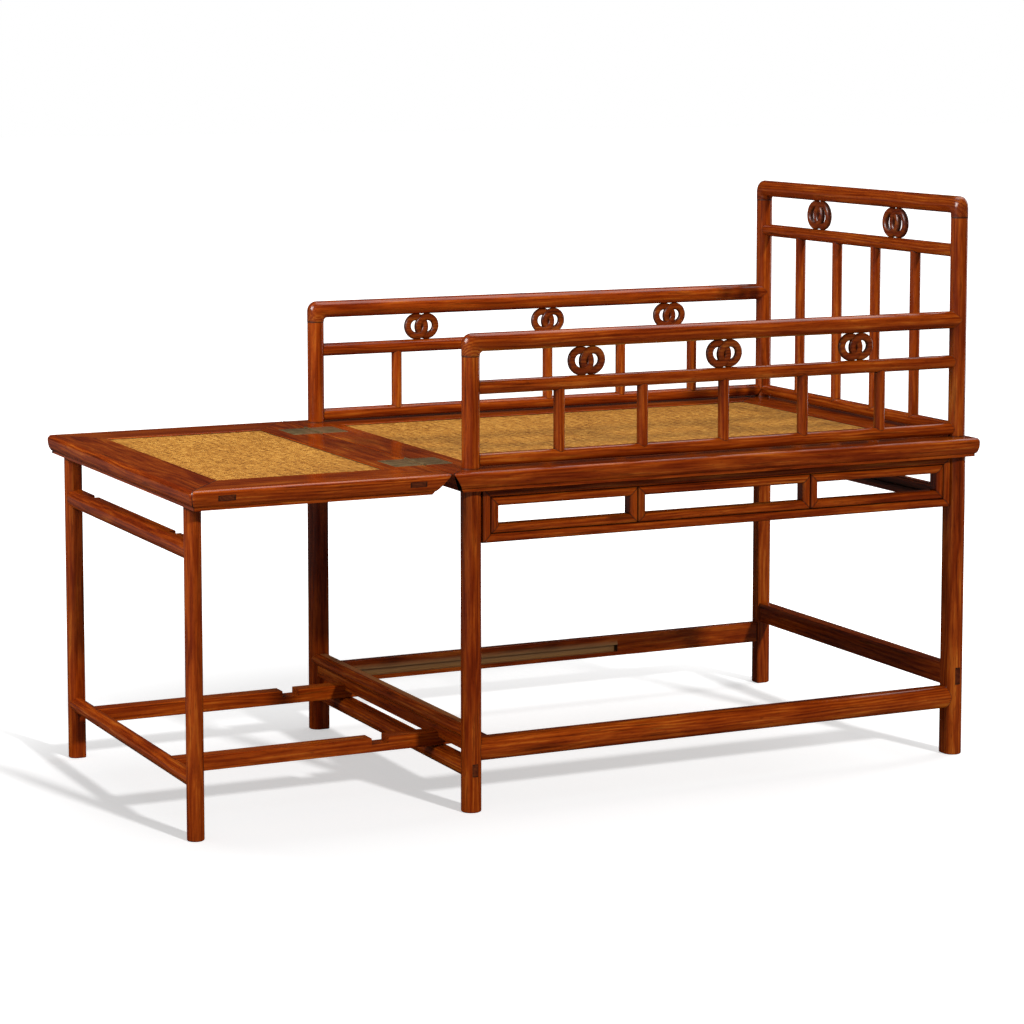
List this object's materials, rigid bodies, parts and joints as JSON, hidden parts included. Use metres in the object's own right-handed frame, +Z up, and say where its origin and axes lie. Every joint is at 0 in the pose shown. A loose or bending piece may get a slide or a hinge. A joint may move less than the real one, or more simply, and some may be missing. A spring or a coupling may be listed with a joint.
{
  "type": "reclining chair",
  "caption": "Low-backed hardwood armchair with a caned seat, openwork arms and aprons, a hinged caned leg rest and a leg stand that slides out on runners to hold it level.",
  "frame": {"origin": "on the floor, under the middle of the bounding box with the leg rest level and its stand pulled out", "axes": "+X from the leg rest's front edge to the chair's back, +Y to the sitter's right, +Z up"},
  "size_m": [1.3, 0.672, 0.88],
  "materials": {
    "hardwood": "polished red-brown hardwood with dark streaks",
    "cane": "finely woven golden cane",
    "hinge_brass": "dull dark brass"
  },
  "bodies": {
    "chair": {"back_apron": "hardwood", "back_bar_1": "hardwood", "back_bar_2": "hardwood", "back_bar_3": "hardwood", "back_bar_4": "hardwood", "back_left_leg": "hardwood", "back_low_rail": "hardwood", "back_mid_rail": "hardwood", "back_right_leg": "hardwood", "back_ring_1": "hardwood", "back_ring_2": "hardwood", "back_stretcher": "hardwood", "crest_rail": "hardwood", "front_left_leg": "hardwood", "front_lower_stretcher": "hardwood", "front_right_leg": "hardwood", "front_upper_stretcher": "hardwood", "left_apron": "hardwood", "left_arm_grille": "hardwood", "left_arm_mid_rail": "hardwood", "left_arm_rail": "hardwood", "left_arm_ring_1": "hardwood", "left_arm_ring_2": "hardwood", "left_arm_ring_3": "hardwood", "left_hinge_pin": "hinge_brass", "left_hinge_seat_leaf": "hinge_brass", "left_stretcher": "hardwood", "right_apron": "hardwood", "right_arm_grille": "hardwood", "right_arm_mid_rail": "hardwood", "right_arm_rail": "hardwood", "right_arm_ring_1": "hardwood", "right_arm_ring_2": "hardwood", "right_arm_ring_3": "hardwood", "right_hinge_pin": "hinge_brass", "right_hinge_seat_leaf": "hinge_brass", "right_stretcher": "hardwood", "seat_back_rail": "hardwood", "seat_brace_1": "hardwood", "seat_brace_2": "hardwood", "seat_front_rail": "hardwood", "seat_left_rail": "hardwood", "seat_mat": "cane", "seat_right_rail": "hardwood"},
    "leg_rest": {"left_hinge_rest_leaf": "hinge_brass", "rest_back_rail": "hardwood", "rest_brace": "hardwood", "rest_front_rail": "hardwood", "rest_left_rail": "hardwood", "rest_mat": "cane", "rest_right_rail": "hardwood", "right_hinge_rest_leaf": "hinge_brass"},
    "leg_stand": {"left_runner": "hardwood", "right_runner": "hardwood", "runner_crossbar": "hardwood", "stand_left_leg": "hardwood", "stand_low_rail": "hardwood", "stand_right_leg": "hardwood", "stand_top_rail": "hardwood"}
  },
  "joints": [
    {"name": "leg_rest_hinge", "type": "hinge", "parent": "chair", "child": "leg_rest", "pos_m": [-0.254, 0, 0.505], "axis": [0, 1, 0], "range_deg": [0, 98]},
    {"name": "leg_stand_slide", "type": "slide", "parent": "chair", "child": "leg_stand", "axis": [1, 0, 0], "range_m": [0, 0.385]}
  ]
}
